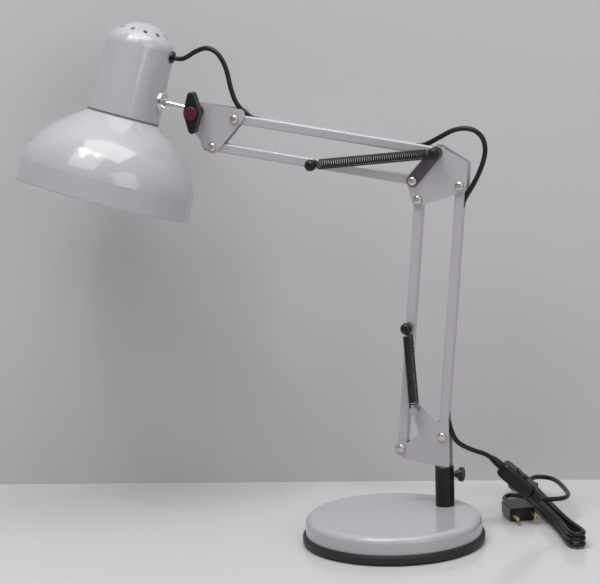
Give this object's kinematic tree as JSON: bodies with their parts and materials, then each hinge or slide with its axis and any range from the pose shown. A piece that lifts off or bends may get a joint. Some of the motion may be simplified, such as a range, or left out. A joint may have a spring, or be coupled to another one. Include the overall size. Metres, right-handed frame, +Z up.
{
  "type": "desk lamp",
  "caption": "Spring-balanced desk lamp: weighted round base, turning bracket, two parallel-bar arms, an elbow and a bell shade on a ball joint, with an in-line switch, cord and plug.",
  "frame": {"origin": "centre of the round rest face under the base, on the table", "axes": "+Z up; the plane the arms move in is parallel to XZ, with the head toward -X; the springs, the wing nut and the thumb screw face -Y"},
  "size_m": [0.6078, 0.3186, 0.5229],
  "materials": {
    "white_paint": "gloss",
    "shade_paint": "gloss",
    "dark_paint": "satin",
    "dome_screw": "polished nickel",
    "bright_metal": "polished",
    "zinc_steel": "bright zinc",
    "spring_wire": "black oxide",
    "cast_weight": "rough cast",
    "foot_rubber": "matt",
    "black_plastic": "satin",
    "fibre": "matt",
    "red_button": "gloss",
    "cable_sheath": "satin",
    "brass_contact": "plain",
    "bulb_glass": "frosted",
    "holder_plastic": "matt"
  },
  "bodies": {
    "base": {"base_cover": "white_paint", "base_weight": "cast_weight", "base_ring": "foot_rubber", "base_plate": "zinc_steel", "base_plate_screws": "zinc_steel", "socket_tube": "dark_paint", "socket_nut": "zinc_steel", "supply_cord": "cable_sheath", "switch_base": "black_plastic", "switch_cover": "black_plastic", "cord_hank": "cable_sheath", "hank_tie": "black_plastic", "plug_body": "black_plastic", "plug_pins": "brass_contact"},
    "thumb_screw": {"thumb_screw": "black_plastic"},
    "turret": {"turret_pin": "zinc_steel", "lower_bracket": "white_paint", "lower_bracket_bolts": "dome_screw", "lower_bracket_nuts": "zinc_steel", "spring_hook_pin": "zinc_steel", "lower_spring": "spring_wire"},
    "lower_rear_bar": {"lower_rear_bar": "white_paint", "lower_bar_cable": "cable_sheath"},
    "lower_front_bar": {"lower_front_bar": "white_paint", "lower_spring_stud": "zinc_steel", "lower_spring_cap": "black_plastic"},
    "elbow": {"elbow_plates": "white_paint", "elbow_straps": "dark_paint", "elbow_bolts": "dome_screw", "elbow_nuts": "zinc_steel", "elbow_spring_pin": "zinc_steel", "elbow_cap": "black_plastic", "elbow_cable_loop": "cable_sheath"},
    "upper_top_bar": {"upper_top_bar": "white_paint", "upper_bar_cable": "cable_sheath"},
    "upper_low_bar": {"upper_low_bar": "white_paint", "upper_spring_stud": "zinc_steel", "upper_spring_cap": "black_plastic", "upper_spring": "spring_wire"},
    "head_bracket": {"head_bracket": "white_paint", "head_bracket_bolts": "dome_screw", "head_bracket_nuts": "zinc_steel", "wing_bolt": "zinc_steel"},
    "wing_nut": {"wing_nut": "black_plastic", "wing_nut_button": "red_button"},
    "head_rod": {"head_rod": "bright_metal", "friction_washers": "fibre"},
    "head_ball": {"head_ball": "bright_metal"},
    "head": {"lamp_cap": "shade_paint", "joint_ring": "bright_metal", "joint_retainer": "zinc_steel", "seam_ring": "dark_paint", "shade": "shade_paint", "lampholder": "holder_plastic", "holder_ring": "holder_plastic", "holder_shell": "brass_contact", "bulb": "bulb_glass", "cable_grommet": "black_plastic", "head_cable_loop": "cable_sheath"},
    "switch_rocker": {"switch_rocker": "black_plastic"}
  },
  "joints": [
    {"name": "base_swivel", "type": "hinge", "parent": "base", "child": "turret", "pos_m": [0.04076, 0.04672, 0.07], "axis": [0, 0, 1], "range_deg": [-180, 180], "deforming": ["supply_cord"]},
    {"name": "thumb_screw_turn", "type": "hinge", "parent": "base", "child": "thumb_screw", "pos_m": [0.04076, 0.04672, 0.061], "axis": [1, 0, 0], "continuous": true},
    {"name": "lower_arm_tilt", "type": "hinge", "parent": "turret", "child": "lower_rear_bar", "pos_m": [0.04076, 0.04672, 0.101], "axis": [0, -1, 0], "range_deg": [-25, 60], "deforming": ["lower_spring", "elbow_cable_loop", "supply_cord"]},
    {"name": "lower_front_bar_tilt", "type": "hinge", "parent": "turret", "child": "lower_front_bar", "pos_m": [-0.00294, 0.04672, 0.0863], "axis": [0, -1, 0], "range_deg": [-25, 60]},
    {"name": "elbow_level", "type": "hinge", "parent": "lower_rear_bar", "child": "elbow", "pos_m": [0.06333, 0.04672, 0.35901], "axis": [0, -1, 0], "range_deg": [-60, 25]},
    {"name": "upper_arm_tilt", "type": "hinge", "parent": "elbow", "child": "upper_top_bar", "pos_m": [0.04033, 0.04672, 0.39231], "axis": [0, -1, 0], "range_deg": [-52, 36], "deforming": ["upper_spring", "elbow_cable_loop", "head_cable_loop"]},
    {"name": "upper_low_bar_tilt", "type": "hinge", "parent": "elbow", "child": "upper_low_bar", "pos_m": [0.01483, 0.04672, 0.36341], "axis": [0, -1, 0], "range_deg": [-52, 36]},
    {"name": "head_level", "type": "hinge", "parent": "upper_top_bar", "child": "head_bracket", "pos_m": [-0.17544, 0.04672, 0.42341], "axis": [0, -1, 0], "range_deg": [-36, 52]},
    {"name": "wing_nut_turn", "type": "hinge", "parent": "head_bracket", "child": "wing_nut", "pos_m": [-0.21524, 0.04672, 0.43121], "axis": [0, -1, 0], "continuous": true},
    {"name": "head_tilt", "type": "hinge", "parent": "head_bracket", "child": "head_rod", "pos_m": [-0.21524, 0.04672, 0.43121], "axis": [0, -1, 0], "range_deg": [-50, 38], "deforming": ["head_cable_loop"]},
    {"name": "head_swivel", "type": "hinge", "parent": "head_rod", "child": "head_ball", "pos_m": [-0.26356, 0.04672, 0.44148], "axis": [-0.9781, 0, 0.2079], "range_deg": [-85.8, 64.2], "deforming": ["head_cable_loop"]},
    {"name": "head_nod", "type": "hinge", "parent": "head_ball", "child": "head", "pos_m": [-0.26356, 0.04672, 0.44148], "axis": [0.039, -0.9823, 0.1833], "range_deg": [-20, 20], "deforming": ["head_cable_loop"]},
    {"name": "switch_rocker_tilt", "type": "hinge", "parent": "base", "child": "switch_rocker", "pos_m": [0.10906, 0.09093, 0.05097], "axis": [-0.1012, 0.9949, 0], "range_deg": [-8, 8]}
  ],
  "couplings": [
    {"joint": "lower_front_bar_tilt", "follows": "lower_arm_tilt", "ratio": 1},
    {"joint": "elbow_level", "follows": "lower_arm_tilt", "ratio": -1},
    {"joint": "upper_low_bar_tilt", "follows": "upper_arm_tilt", "ratio": 1},
    {"joint": "head_level", "follows": "upper_arm_tilt", "ratio": -1}
  ]
}
